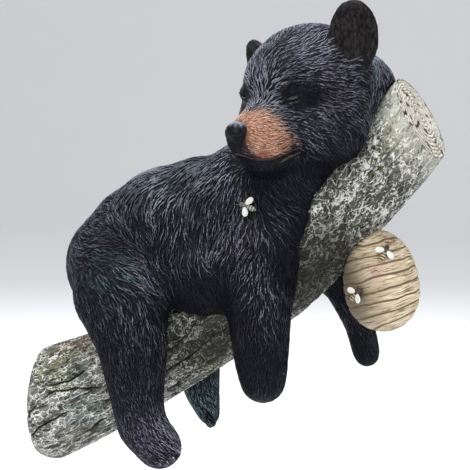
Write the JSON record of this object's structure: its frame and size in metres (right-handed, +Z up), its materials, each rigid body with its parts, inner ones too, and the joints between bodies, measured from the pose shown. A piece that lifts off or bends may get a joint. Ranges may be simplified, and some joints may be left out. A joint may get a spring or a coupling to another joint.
{
  "type": "bear garden sculpture",
  "caption": "Painted resin garden sculpture of a black bear cub asleep along a rising branch, with a wrapped beehive hanging under it and bees on the hive and the cub's shoulder.",
  "frame": {"origin": "centre of the branch's flat cut end, the face that is fastened to a post, trunk or wall", "axes": "+Z up, +X out from that upright along the branch's reach, and the cub's near side, with its face, towards -Y"},
  "size_m": [0.3491, 0.1718, 0.3983],
  "materials": {
    "black_fur": "black paint over carved fur, dry-brushed blue-grey, satin",
    "grey_bark": "grey-green paint over carved bark, dry-brushed off-white, matte",
    "hive_straw": "straw-coloured paint with brown in the grooves, matte",
    "bee_brown": "brown and tan body with white wings, satin"
  },
  "bodies": {
    "root": {"bear_cub": "black_fur", "branch": "grey_bark", "hive": "hive_straw", "bee_on_shoulder": "bee_brown", "bee_on_hive_top": "bee_brown", "bee_on_hive_side": "bee_brown"}
  },
  "joints": []
}
